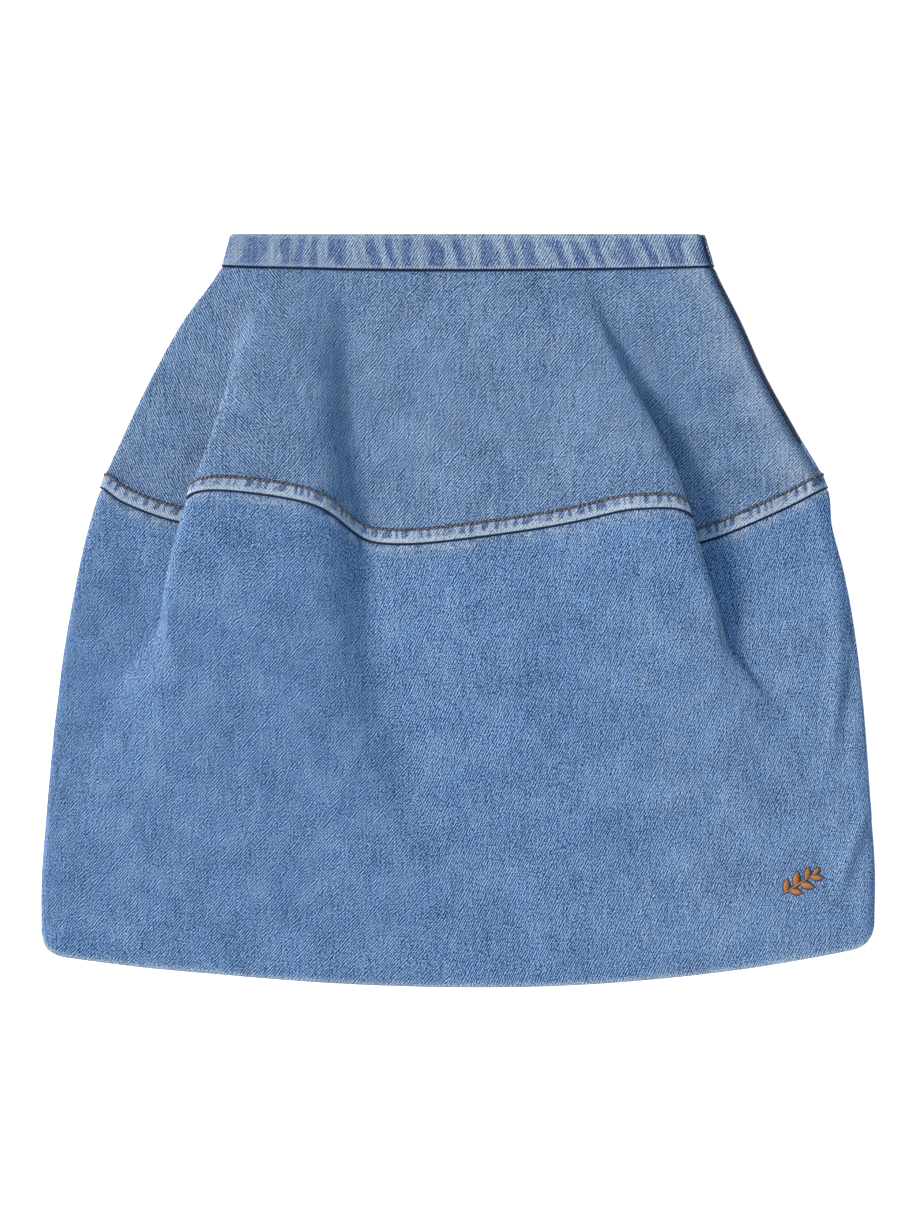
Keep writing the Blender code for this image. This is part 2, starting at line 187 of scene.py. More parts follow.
def fold_points(line, way, high, seam, level):
    points = []
    for p in FOLD:
        x = line + way * lerp(p.open, p.tucked if level.lap > 0 else p.wide, abs(level.lap))
        points.append((x, lerp(level.side, high, p.rise), lerp(*seam, p.seam)))
    return points


def side_points(edge, way, side):
    radius = side / 2
    round_about = [(np.cos(turn), np.sin(turn)) for turn in (-ROUND_STEP, 0.0, ROUND_STEP)]
    places = [(0.0, -1.0), *((ROUND_REACH * out, ROUND_REACH * up) for out, up in round_about), (0.0, 1.0)]
    return [(edge + way * radius * (out - 1), radius * (1 + up), SIDE_SEAM_Y) for out, up in places]


def ring_guides(level):
    """Guide points (x, z, height of the cross seam) of the closed ring at one level."""
    points = side_points(level.left, -1, level.side)
    points += span_points(LEFT_SIDE, level.left, level.ridge_left, level)
    points += fold_points(level.ridge_left, 1, level.hump_left, LEFT_FOLD_SEAM, level)
    points += span_points(LEFT_HUMP, level.ridge_left, level.valley, level)
    points += span_points(MIDDLE, level.valley, level.ridge_right, level)
    points += fold_points(level.ridge_right, -1, level.hump_right, RIGHT_FOLD_SEAM, level)[::-1]
    points += span_points(RIGHT_SIDE, level.right, level.ridge_right, level)
    points += side_points(level.right, 1, level.side)[::-1]
    for share in BACK_SHARES:
        x = lerp(level.left, level.right, share)
        points.append((x, 0, back_seam_y(x)))
    return np.array(points, float)


WAIST_GUIDES, HEM_GUIDES = ring_guides(level_at(0.0)), ring_guides(level_at(HEM_DROP))
WAIST_LINE = np.array([waist_y(x) for x in WAIST_GUIDES[:, 0]])
HEM_LINE = np.array([hem_y(x) for x in HEM_GUIDES[:, 0]])
RING = len(WAIST_GUIDES)
ZIP_PLACE, RIGHT_NOSE_PLACE = RING - len(BACK_SHARES) - 4.49, 28.8
LEFT_SEAM_PLACE, RIGHT_SEAM_PLACE = 0.2, RING - len(BACK_SHARES) - 1.2
print("guide points in a ring:", RING)

# %% [markdown]
# A cubic B-spline rounds the ring off, as cloth rounds its own folds, and gives the cloth's outer face at any drop
# and place. From the points beside it come the way round the ring and the way out of the cloth.

# %% The skin of the skirt
def skin(drop, places):
    """Points of the outer face at one drop and at places around the ring."""
    x, z, seam_line = ring_guides(level_at(drop)).T
    if drop < 0:
        y = lerp(WAIST_LINE, TOP_Y, -drop / BAND_DROP)
    elif drop < YOKE_DROP:
        y = lerp(WAIST_LINE, seam_line, drop / YOKE_DROP)
    else:
        y = lerp(seam_line, HEM_LINE, (drop - YOKE_DROP) / (HEM_DROP - YOKE_DROP))
    guides = np.stack([x, y, z], axis=1)
    places = np.asarray(places, float)
    first = np.floor(places).astype(int)
    t = (places - first)[:, None]
    weights = ((1 - t) ** 3, 3 * t**3 - 6 * t**2 + 4, -3 * t**3 + 3 * t**2 + 3 * t + 1, t**3)
    return sum(w * guides[(first + k - 1) % RING] for k, w in enumerate(weights)) / 6


def unit(vectors):
    return vectors / np.linalg.norm(vectors, axis=-1, keepdims=True)


def along(drop, places):
    """Direction around the ring."""
    step = 0.02
    places = np.asarray(places, float)
    return (skin(drop, places + step) - skin(drop, places - step)) / (2 * step)


def normals(drop, places):
    """Outward directions of the skin."""
    low, high = max(drop - 1.0, -BAND_DROP), min(drop + 1.0, HEM_DROP)
    return unit(np.cross(skin(high, places) - skin(low, places), along(drop, places)))


def beside(place, drop, distance):
    """The place that lies a distance around the ring from another."""
    return place + distance / np.linalg.norm(along(drop, [place])[0])


def evenly(drop, first, last, count, length=18.0, turning=15.0):
    """Places between two seams, closer together where the cloth bends."""
    fine = np.linspace(first, last, 3000)
    steps = np.diff(skin(drop, fine), axis=0)
    turn = np.arccos(np.clip((unit(steps[1:]) * unit(steps[:-1])).sum(axis=1), -1, 1))
    effort = np.linalg.norm(steps[1:], axis=1) / length + np.degrees(turn) / turning
    measure = np.concatenate([[0], np.cumsum(effort)])
    return np.interp(np.linspace(0, measure[-1], count + 2)[1:-1], measure, fine[:-1][: len(measure)])


hem_line = skin(HEM_DROP, np.linspace(0, RING, 600))
print("length round the hem in mm:", round(float(np.linalg.norm(np.diff(hem_line, axis=0), axis=1).sum())))

# %% [markdown]
# ## Creases
# Denim that has been worn and washed never lies quite smooth. Each soft crease here is a short bent line on the cloth
# with a width and a height, raised or sunk, and a broad slow unevenness goes over the rest. The table is in
# millimetres, looking down on the front. The back has a few of its own, which only rise from the table.

# %% Creases of the front and the back
CREASE_STEPS = 40
Crease = namedtuple("Crease", "x1 y1 x2 y2 x3 y3 width height")
FRONT_CREASES = (
    Crease(259, 56, 273, -8, 261, -86, 5, 3.0),
    Crease(273, 14, 278, -34, 269, -104, 5, -2.8),
    Crease(286, -138, 275, -166, 264, -196, 5, 1.8),
    Crease(289, -150, 283, -170, 274, -192, 6, -1.6),
    Crease(-162, -178, -151, -204, -139, -226, 4, -0.8),
    Crease(-148, -172, -138, -200, -128, -226, 6, 0.7),
    Crease(-236, 70, -222, 36, -214, -30, 10, -1.4),
    Crease(-20, 34, -18, -20, -30, -104, 16, -1.0),
    Crease(40, 30, 52, -40, 46, -130, 22, 0.8),
    Crease(-120, 40, -128, -30, -150, -110, 20, 0.8),
    Crease(196, 186, 190, 170, 180, 158, 4, 0.9),
    Crease(206, 172, 200, 158, 188, 148, 4, -0.7),
    Crease(214, 152, 206, 138, 196, 130, 5, 0.7),
    Crease(120, -120, 150, -150, 190, -160, 18, 0.7),
)
BACK_CREASES = (
    Crease(-120, 180, -90, 120, -100, 70, 9, 1.0),
    Crease(90, 190, 110, 130, 100, 60, 10, 1.1),
    Crease(-180, 20, -150, -60, -170, -150, 14, 1.2),
    Crease(40, 30, 60, -70, 40, -180, 16, 0.9),
    Crease(200, -20, 190, -110, 210, -200, 12, 1.2),
)


def smooth(value, low, high):
    """0 below low, 1 above high, and an even slope between."""
    t = np.clip((value - low) / (high - low), 0, 1)
    return t * t * (3 - 2 * t)


def swell(points, creases):
    """Height that the creases add at each point."""
    height = np.zeros(points.shape[:-1])
    for c in creases:
        t = np.linspace(0, 1, CREASE_STEPS)[:, None]
        line = (1 - t) ** 2 * [c.x1, c.y1] + 2 * t * (1 - t) * [c.x2, c.y2] + t**2 * [c.x3, c.y3]
        near = points[..., None, :2] - line
        distance = (near**2).sum(axis=-1)
        nearest = distance.argmin(axis=-1)
        fade = np.sin(np.pi * (0.06 + 0.88 * nearest / (CREASE_STEPS - 1))) ** 0.7
        height += c.height * fade * np.exp(-distance.min(axis=-1) / c.width**2)
    return height


def waves(a, b, length, seed):
    """A slow uneven field between -1 and 1, of waves about as long as length."""
    chance = np.random.default_rng(seed)
    total = 0
    for _ in range(7):
        way, phase = chance.uniform(0, 2 * np.pi, 2)
        size = 2 * np.pi / (length * chance.uniform(0.6, 1.8))
        total = total + np.sin(size * (np.cos(way) * a + np.sin(way) * b) + phase)
    return total / 4


print("creases:", len(FRONT_CREASES), "in front and", len(BACK_CREASES), "behind")

# %% [markdown]
# ## Cloth
# Each piece is cut, folded and sewn as in the workroom. A row of points crosses the piece at one drop; rows run down
# the outside, and where an edge is folded they go round the fold and back up inside. Solidify then gives the sheet
# the thickness of one layer of denim. Two maps go with it: one follows the weave, turned the way that panel was cut,
# and one measures the distance along and above the nearest seam, for the wear that comes from the seam.

# %% Rows of cloth and folded edges
Row = namedtuple("Row", "drop depth beyond")
LAYER = 1.3  # thickness of one layer
TURN_STEPS = 7


def grid_faces(rows, columns):
    """The corners of a grid's faces, for points that are numbered row by row."""
    number = np.arange(rows * columns).reshape(rows, columns)
    return around_faces(number).reshape(-1, 4).tolist()


def around_faces(grid):
    """For each face of a grid, what the grid holds at its four corners."""
    return np.stack([grid[:-1, :-1], grid[1:, :-1], grid[1:, 1:], grid[:-1, 1:]], axis=2)


def smooth_mesh(name, points, faces=None, material=None):
    """A mesh of points in millimetres. Without faces, the points are rows of a grid."""
    points = np.asarray(points, float)
    faces = grid_faces(*points.shape[:2]) if faces is None else faces
    mesh = bpy.data.meshes.new(name)
    mesh.from_pydata((points.reshape(-1, 3) * MM).tolist(), [], faces)
    mesh.shade_smooth()
    if material:
        mesh.materials.append(material)
    return mesh


def show(data):
    """A new object in the scene, for a mesh or any other data."""
    made = bpy.data.objects.new(data.name, data)
    bpy.context.scene.collection.objects.link(made)
    return made


def thick_piece(mesh, thickness):
    """An object for a sheet, with a wall that grows inwards."""
    piece = show(mesh)
    wall = piece.modifiers.new("thickness", "SOLIDIFY")
    wall.thickness, wall.offset = thickness * MM, -1.0
    return piece


def give_map(mesh, name, corners):
    """A UV map in metres, from the places of the faces' corners in millimetres."""
    mesh.uv_layers.new(name=name).data.foreach_set("uv", (corners * MM).ravel())


def outside(drops, depth=0.0):
    return [Row(drop, depth, 0.0) for drop in drops]


def folded(drop, way, depth, radius, back):
    """Rows round a folded edge, then back inside. Way is 1 for a lower edge and -1 for an upper one."""
    angles = np.linspace(0, np.pi, TURN_STEPS + 1)[1:]
    rows = [Row(drop, depth + radius * (1 - np.cos(a)), way * radius * np.sin(a)) for a in angles]
    return rows + [Row(drop - way * step, depth + 2 * radius, 0.0) for step in back]


print("rows in a folded edge:", len(folded(HEM_DROP, 1, 0.0, 1.0, (5, 10))), "| one layer is", LAYER, "mm thick")

# %% [markdown]
# The warp runs straight in the piece that was cut, so the twill's slope changes from panel to panel and at each
# fold. The table gives the slope of the diagonal lines in degrees for each stretch of the ring.

# %% Slope of the twill on each stretch of the ring
Weave = namedtuple("Weave", "first last middle yoke lower")
WEAVES = (
    Weave(-1.0, 9.7, 5.5, -62, 48),
    Weave(9.7, 15.6, 14.0, -48, 48),
    Weave(15.6, 19.6, 17.0, 50, 48),
    Weave(19.6, 31.3, 24.5, 50, 63),
    Weave(31.3, 40.8, 35.5, 42, 64),
    Weave(40.8, 51.5, 46.0, -50, -60),
)
BAND_TWILL = 55
print("slopes of the twill in degrees:", [w.yoke for w in WEAVES], "and", [w.lower for w in WEAVES])


def run_along(points):
    """Length from the first point of each row."""
    steps = np.linalg.norm(np.diff(points, axis=1), axis=2)
    return np.concatenate([np.zeros((len(points), 1)), np.cumsum(steps, axis=1)], axis=1)


def turned(u, v, angle):
    """Two maps turned by an angle in degrees, as pairs for the two sides of each column of faces."""
    a = np.radians(angle)
    both = np.stack([u * np.cos(a) + v * np.sin(a), -u * np.sin(a) + v * np.cos(a)], axis=2)
    return np.stack([both[:, :-1], both[:, 1:]], axis=2)


def weave_map(points, places, part):
    """For each column of faces, the corners' places in the cloth, turned so that the twill lines run along x."""
    run = run_along(points)
    if part == "band":
        up = np.cumsum(np.linalg.norm(np.diff(points, axis=0, prepend=points[:1]), axis=2), axis=0)
        return turned(np.broadcast_to(run[len(run) // 2], up.shape), -up, BAND_TWILL)
    columns = np.arange(points.shape[1])
    uv = np.zeros((points.shape[0], points.shape[1] - 1, 2, 2))
    middles = (places[1:] + places[:-1]) / 2
    for w in WEAVES:
        chosen = (middles >= w.first) & (middles < w.last)
        if not chosen.any():
            continue
        anchor = np.interp(w.middle, places, columns)
        start = np.array([np.interp(anchor, columns, row) for row in run])
        x = np.array([np.interp(anchor, columns, row) for row in points[:, :, 0]])
        way = -1 if w.first > 40 else 1
        u, v = x[:, None] + way * (run - start[:, None]), points[:, :, 1]
        uv[:, chosen] = turned(u, v, getattr(w, part))[:, chosen]
    return uv


# %% [markdown]
# A maker's dummy for every piece: rows and places in, a finished sheet out. It also keeps the grid of points, because
# the thread of the topstitching has to lie on it later.

# %% Make a sheet of cloth
def sheet_of_cloth(name, rows, places_at, raise_at, part, seam_row, wear_and_light_at, replaces, material):
    """A grid of cloth that follows the skin, with its maps and its wall."""
    points, facings, flat = [], [], []
    for row in rows:
        places = places_at(row.drop)
        facing = normals(row.drop, places)
        down = unit(np.cross(along(row.drop, places), facing))
        depth = row.depth * (1 if row.depth > 0 else np.clip(facing[:, 2:], 0, 1))
        points.append(skin(row.drop, places) - depth * facing + row.beyond * down)
        facings.append(facing)
        flat.append(places)
    points, facings, places = np.array(points), np.array(facings), np.array(flat)
    drops = np.array([row.drop for row in rows])
    down_length = run_along(points.transpose(1, 0, 2)).T
    above = down_length[seam_row] - down_length
    run = np.broadcast_to(run_along(points[seam_row : seam_row + 1]), above.shape)
    points = points + raise_at(points, facings, run, above, drops[:, None])[..., None] * facings
    mesh = smooth_mesh(name, points, material=material)
    corners = weave_map(points, places.mean(axis=0), part)
    weave = np.stack([corners[:-1, :, 0], corners[1:, :, 0], corners[1:, :, 1], corners[:-1, :, 1]], axis=2)
    give_map(mesh, "weave", weave)
    give_map(mesh, "seam", around_faces(np.stack([run, above], axis=2)))
    far = np.broadcast_to(drops[:, None], above.shape)
    # The first attribute holds wear, and on the lower part also painted light on its right side.
    for title, values in (("worn", wear_and_light_at(points, places, far)), ("drop", far * MM)):
        mesh.attributes.new(title, "FLOAT", "POINT").data.foreach_set("value", np.ascontiguousarray(values).ravel())
    piece = thick_piece(mesh, LAYER)
    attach(piece, "root")
    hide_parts(replaces)
    print(f"{name}: {len(rows)} rows of {above.shape[1]} points, {4 * len(mesh.polygons)} triangles with its wall")
    return piece, points, above, facings


def stretch(first, last, half, inner):
    """Places from one seam to another, half a gap inside each."""

    def places_at(drop):
        return np.array([beside(first, drop, half(drop)), *inner, beside(last, drop, -half(drop))])

    return places_at


SEAM_HALF, SLOT_HALF, ZIP_DROP = 0.15, 1.1, 120.0


def seam_half(drop):
    return SEAM_HALF


def slot_half(drop):
    return SLOT_HALF if drop <= ZIP_DROP else lerp(SLOT_HALF, SEAM_HALF, smooth(drop, ZIP_DROP, ZIP_DROP + 6))


print("half the slot for the zip, in mm:", slot_half(0.0), "and below it:", round(slot_half(HEM_DROP), 2))

# %% [markdown]
# ## How the cloth is raised and worn
# Along a stitched seam the thread holds the cloth shorter than it wants to be, so it puckers. In the wash the raised
# puckers and folded edges rub pale, and the hollows between them keep their indigo. The raised allowance under the
# yoke's edge, the groove of the stitching and the puckers are heights here, and the paleness follows them below. A
# broad part on the right of the lower part is also painted paler, as painted light.

# %% Heights of creases, puckers and seams
STITCH_UP = 9.2  # topstitching above the cross seam
PUCKER = 7.7  # length of one pucker along the cross seam
ALLOWANCE_RISE = 0.9


def puckers(run, length, seed):
    """Uneven puckers along a seam, between -1 and 1."""
    drift = waves(run, 0 * run, 5 * length, seed) * 0.8
    size = 0.75 + 0.35 * waves(run, 0 * run, 3 * length, seed + 1)
    return size * np.sin(2 * np.pi * (run / length + drift))


def front_height(points, facing):
    up = smooth(facing[..., 2], 0.1, 0.6)
    x, y = points[..., 0], points[..., 1]
    slow = 0.45 * waves(x, y, 95, 3) + 0.18 * waves(x, y, 32, 4)
    return up * (swell(points, FRONT_CREASES) + slow)


def back_height(points, facing, *_):
    under = smooth(-facing[..., 2], 0.6, 0.95) * smooth(points[..., 1], -255, -225)
    x, y = points[..., 0], points[..., 1]
    return -under * (swell(points, BACK_CREASES) + 0.35 * (1 + waves(x, y, 80, 8)))


def seam_height(run, above):
    """The cross seam's edge: allowance under it, puckers on it and the groove of its stitching."""
    allowance = ALLOWANCE_RISE * smooth(above, STITCH_UP + 4.5, STITCH_UP + 0.5)
    band = smooth(above, -1, 2) * smooth(above, STITCH_UP + 5, STITCH_UP - 2)
    groove = -0.45 * np.exp(-((above - STITCH_UP) / 0.9) ** 2)
    return allowance + band * 0.38 * puckers(run, PUCKER, 21) + groove


def yoke_height(face_height):
    """Heights of one face of the yoke: they fade in below the waistband, and the seam's edge is added."""

    def height(points, facing, run, above, drop):
        side = smooth(facing[..., 2], -0.2, 0.4)
        return smooth(drop, 0, 12) * face_height(points, facing) + seam_height(run, above) * side

    return height


def skirt_front_height(points, facing, run, above, drop):
    return front_height(points, facing) + smooth(-above, 16, 2) * 0.3 * puckers(run, PUCKER * 1.3, 31)


def near(places, place, width):
    return np.exp(-(((places - place) / width) ** 2))


def yoke_wear(points, places, drop):
    """Pale lines along the nose of the right fold and along the zip."""
    nose = 0.27 * near(places, RIGHT_NOSE_PLACE, 0.8) * smooth(drop, 20, 90) * smooth(drop, 330, 200)
    zip_edge = 0.3 * near(places, ZIP_PLACE - 0.9, 1.0) * (drop < YOKE_DROP)
    return np.clip(nose + zip_edge, 0, 1)


def skirt_wear_and_painted_light(points, places, drop):
    """The same, with the hem, and a broad part on the right painted paler as painted light."""
    hem = 0.5 * smooth(drop, HEM_DROP - 3, HEM_DROP)
    # Painted light: the right of the lower part, whose slopes face away from the lamp, is painted a little paler.
    painted_light_right = 0.09 * smooth(points[..., 0], 60, 190) * smooth(drop, YOKE_DROP + 30, YOKE_DROP + 90)
    return np.clip(yoke_wear(points, places, drop) + hem + painted_light_right, 0, 1)


def no_wear(points, places, drop):
    return 0 * places


print("puckers in 100 mm of seam: about", round(100 / PUCKER))


# %% [markdown]
# ## Denim
# Denim is a twill: blue warp threads over white weft in fine diagonal lines, about 1.5 mm apart here. Its look comes
# from those lines, from threads that are thicker in places, from clouds left by the wash, and from wear. On top of
# that, shade is painted in dark navy into the crevices at its seams, and the lower part's right side is painted a
# little paler as painted light. The shader works on numbers, so a small class lets it be written as sums: an operator
# adds the Math node that it stands for, and one method adds any other node.

# %% Write shader maths as Python
def maths(operation, swapped=False):
    """A method of Wired that adds a Math node."""

    def method(self, *others):
        values = (*others, self) if swapped else (self, *others)
        return self.add("ShaderNodeMath", {"operation": operation}, dict(enumerate(values)))

    return method


class Wired:
    """One socket of a material's nodes."""

    def __init__(self, tree, socket):
        self.tree, self.socket = tree, socket

    def add(self, kind, settings=None, inputs=None, output=0):
        node = self.tree.nodes.new(kind)
        for name, value in (settings or {}).items():
            if name == "stops":
                for stop, (position, colour) in zip(node.color_ramp.elements, value):
                    stop.position, stop.color = position, (*colour, 1.0)
                for position, colour in value[2:]:
                    node.color_ramp.elements.new(position).color = (*colour, 1.0)
            else:
                setattr(node, name, value)
        for name, value in (inputs or {}).items():
            if isinstance(value, Wired):
                self.tree.links.new(value.socket, node.inputs[name])
            else:
                node.inputs[name].default_value = value
        return Wired(self.tree, node.outputs[output])

    __add__, __mul__, __truediv__, sine = maths("ADD"), maths("MULTIPLY"), maths("DIVIDE"), maths("SINE")
    __sub__, __rsub__ = maths("SUBTRACT"), maths("SUBTRACT", swapped=True)
    __radd__, __rmul__ = __add__, __mul__

    def clamp(self):
        return self.add("ShaderNodeClamp", inputs={0: self})

    def slope(self, low, high):
        """0 at low, 1 at high, smooth between."""
        ends = {0: self, 1: min(low, high), 2: max(low, high)}
        rising = self.add("ShaderNodeMapRange", {"interpolation_type": "SMOOTHSTEP"}, ends)
        return 1 - rising if low > high else rising

    def noise(self, u, v, detail=1.0):
        """Noise in two directions, between 0 and 1 and mostly near a half."""
        at = self.add("ShaderNodeCombineXYZ", inputs={0: u, 1: v})
        inputs = {"Vector": at, "Scale": 1.0, "Detail": detail}
        return self.add("ShaderNodeTexNoise", {"noise_dimensions": "2D"}, inputs)

    def mix(self, first, second):
        """From the first colour to the second, by this value."""
        return self.add("ShaderNodeMix", {"data_type": "RGBA"}, {0: self, 6: first, 7: second}, output=2)

    def parts(self):
        """A vector's three numbers, from metres to millimetres."""
        return [self.add("ShaderNodeSeparateXYZ", inputs={0: self}, output=i) * 1000 for i in range(3)]

    def place(self):
        """Where a point is on its object, in millimetres."""
        return self.add("ShaderNodeTexCoord", output=3).parts()

    def mapped(self, name):
        """Where a point is on a UV map, in millimetres."""
        return self.add("ShaderNodeUVMap", {"uv_map": name}).parts()[:2]

    def into(self, shader, name):
        self.tree.links.new(self.socket, shader.inputs[name])

    def bump(self, shader, strength, distance):
        """Relief on the surface, where distance is in metres."""
        inputs = {"Strength": strength, "Distance": distance, "Height": self}
        self.add("ShaderNodeBump", inputs=inputs).into(shader, "Normal")


def start_material(name, roughness):
    """A new material, its shader, and a start for the wiring."""
    material = bpy.data.materials.new(name)
    material.use_nodes = True
    shader = material.node_tree.nodes["Principled BSDF"]
    shader.inputs["Roughness"].default_value = roughness
    return material, shader, Wired(material.node_tree, None)


print("what a socket can do:", [name for name in vars(Wired) if name[0] != "_"])

# %% [markdown]
# The twill itself: diagonal lines that wander a little, broken into short dashes where a warp thread dives under the
# weft, thick and thin threads down and across, and slow clouds. The result is one number, low where indigo shows and
# high where the white thread does, and a ramp of washed blues turns it into colour. The wash also leaves wide faint
# clouds of paler and of bluer cloth.

# %% The weave of washed denim
TWILL_PITCH = 1.55
FADED = 0.09  # how far a cloud of paler or bluer cloth differs from the rest
Yarns = namedtuple("Yarns", "dark middle pale")
YOKE_YARNS = Yarns((0.006, 0.020, 0.063), (0.075, 0.152, 0.292), (0.300, 0.430, 0.655))
LOWER_YARNS = Yarns((0.004, 0.020, 0.072), (0.057, 0.139, 0.306), (0.248, 0.412, 0.688))
# The worn white also carries painted light on the lower part's right side; the dark navy is painted shade, laid into
# the crevices at the seams and along the stitching's groove.
WORN_AND_PAINTED_LIGHT_WHITE, DEEP_INDIGO, PAINTED_SHADE_NAVY = (0.42, 0.51, 0.61), (0.036, 0.067, 0.178), (0.008, 0.023, 0.080)


def weave_value(w, lines, grain):
    """How much white shows at each place, around a half. Lines and grain set how strong each is."""
    (u, v), (x, y, z) = w.mapped("weave"), w.place()
    wander = w.noise(u / 14, v / 6, 2.0)
    line = ((v / TWILL_PITCH + wander * 1.6) * (2 * np.pi)).sine()
    dash = w.noise(u / 1.7, v / 0.9, 1.0) - 0.5
    speck = w.noise(x / 0.95, (y + z) / 0.95, 1.0) - 0.5
    slub = w.noise(x / 1.4, y / 20, 1.0) - 0.5
    pick = w.noise(x / 24, y / 1.5, 1.0) - 0.5
    cloud = w.noise(x / 34, y / 34, 3.0) - 0.5
    fine = line * (dash * 1.2 + 0.9) * lines + (dash * 0.9 + speck * 1.5) * grain
    return fine + slub * 0.5 + pick * 0.2 + cloud * 0.3 + 0.5


def denim(name, lines, grain, yarns, masks):
    """A material that colours the weave: it rubs it pale by the first mask, which on the lower part also holds a
    little painted light, leaves it dark by the second, and paints shade in dark navy by the third.
    """
    material, shader, w = start_material(name, 0.9)
    value = weave_value(w, lines, grain)
    pale, indigo, painted_shade = (mask.clamp() for mask in masks(w))
    stops = [(0.0, yarns.dark), (1.0, yarns.pale), (0.5, yarns.middle)]
    blue = w.add("ShaderNodeValToRGB", {"stops": stops}, {0: value})
    x, y, _ = w.place()
    faded = w.noise(x / 19 + 3.7, y / 28, 4.0)
    # The first mask holds wear, and on the lower part also a little painted light.
    rubbed_and_painted_light = ((pale + faded.slope(0.42, 0.78) * FADED) * (value * 1.1 + 0.3)).clamp().mix(blue, (*WORN_AND_PAINTED_LIGHT_WHITE, 1.0))
    dyed = indigo + faded.slope(0.58, 0.25) * FADED
    deep = (dyed * (1.5 - value * 1.1)).clamp().mix(rubbed_and_painted_light, (*DEEP_INDIGO, 1.0))
    # Painted shade: dark navy where the third mask marks the crevices at the seams.
    painted_shade.mix(deep, (*PAINTED_SHADE_NAVY, 1.0)).into(shader, "Base Color")
    value.bump(shader, 0.35, 0.00025)
    shader.inputs["Specular IOR Level"].default_value = 0.2
    return material


print("twill lines in 10 mm: about", round(10 / TWILL_PITCH, 1))

# %% [markdown]
# Each piece then gets its own wear. On the yoke, a pale ridge runs along the folded edge, and dark teeth hang from
# the topstitching between the puckers. The lower part is rubbed just under the seam. The waistband is pale all over,
# with upright dark blots where the band twists between its two seams. Each piece also gets painted shade in dark navy
# where shade falls at its seams: on the yoke under the waistband, under its folded edge and in the groove of the
# stitching, on the lower part where it comes out from under the yoke, and on the waistband's lower edge.

# %% Denim for the yoke, the lower part and the waistband
BAND_BLOT = 16.7  # length of one blot on the waistband


def seam_parts(w):
    run, above = w.mapped("seam")
    worn = w.add("ShaderNodeAttribute", {"attribute_name": "worn"}, output=2)
    drop = w.add("ShaderNodeAttribute", {"attribute_name": "drop"}, output=2) * 1000
    return run, above, worn, drop


def yoke_masks(w):
    run, above, worn, drop = seam_parts(w)
    drift = w.noise(run / 17, above / 60, 1.0) * 2.2
    big = w.noise(run / 24 + 7.3, above / 80, 0.0).slope(0.3, 0.55)
    rough = (w.noise(run / 1.6, above / 1.6, 1.0) - 0.5) * 0.7
    tooth = (((run - above * 0.25) / PUCKER + drift) * (2 * np.pi)).sine() + rough
    tooth = tooth.slope(-0.2, 0.6) * (big * 0.5 + 0.5)
    band = above.slope(STITCH_UP + 0.6, STITCH_UP - 0.2)
    ridge = above.slope(4.6, 1.8)
    hang = above.slope(2.0, 4.6)
    pale = band * (ridge * 0.72 + (1 - tooth) * hang * 0.5 + 0.1) + worn
    over = above.slope(STITCH_UP + 9, STITCH_UP + 1) * (1 - band) * tooth * 0.3
    # Painted shade: a dark line in the groove of the topstitching.
    groove = above.slope(STITCH_UP - 1.7, STITCH_UP - 0.8) * above.slope(STITCH_UP + 1.5, STITCH_UP + 0.7) * 0.55
    # The third mask is painted shade: a dark line just under the waistband, one where the folded edge turns under,
    # and the groove's line.
    return pale, band * tooth * hang * 0.95 + over, drop.slope(2.2, 0.9) + above.slope(0.3, -0.4) + groove


def skirt_masks(w):
    run, above, worn, _ = seam_parts(w)
    patch = w.noise(run / 8.5, above / 8.5, 2.0)
    rub = above.slope(-12, -1.5) * (patch.slope(0.35, 0.65) * 0.25 + 0.13)
    # The third mask is painted shade: a dark strip where the lower part comes out from under the yoke's folded edge.
    return rub + worn, above.slope(-15, -3) * patch.slope(0.48, 0.36) * 0.35, above.slope(-1.1, -0.4)


def band_masks(w):
    run, above, *_ = seam_parts(w)
    lean = run + above * 0.05
    drift = w.noise(lean / 34, above / 60, 1.0) * 1.8
    rough = (w.noise(lean / 3.6, above / 9.0, 2.0) - 0.5) * 1.5
    blot = ((lean / BAND_BLOT + drift) * (2 * np.pi)).sine() + rough
    edge = above.slope(18.5, 22.0) + above.slope(3.2, 1.0)
    dark = blot.slope(-0.5, 0.7) * (1 - edge * 0.7)
    # The third mask is painted shade: a dark strip on the band's lower edge where it turns under.
    return (1 - dark) * 0.38 + edge * 0.12, dark * 0.72, above.slope(0.4, -0.2)


YOKE_DENIM = denim("denim_yoke", 0.44, 1.0, YOKE_YARNS, yoke_masks)
SKIRT_DENIM = denim("denim_lower", 0.46, 1.35, LOWER_YARNS, skirt_masks)
BAND_DENIM = denim("denim_band", 0.55, 1.0, YOKE_YARNS, band_masks)
print("denims:", [m.name for m in (YOKE_DENIM, SKIRT_DENIM, BAND_DENIM)])

# %% [markdown]
# ## Yoke
# The yoke's lower edge is folded under and lapped over the lower part. Its front reaches from the left side seam to
# the zip; its back comes round the right side and meets the zip from the other side.

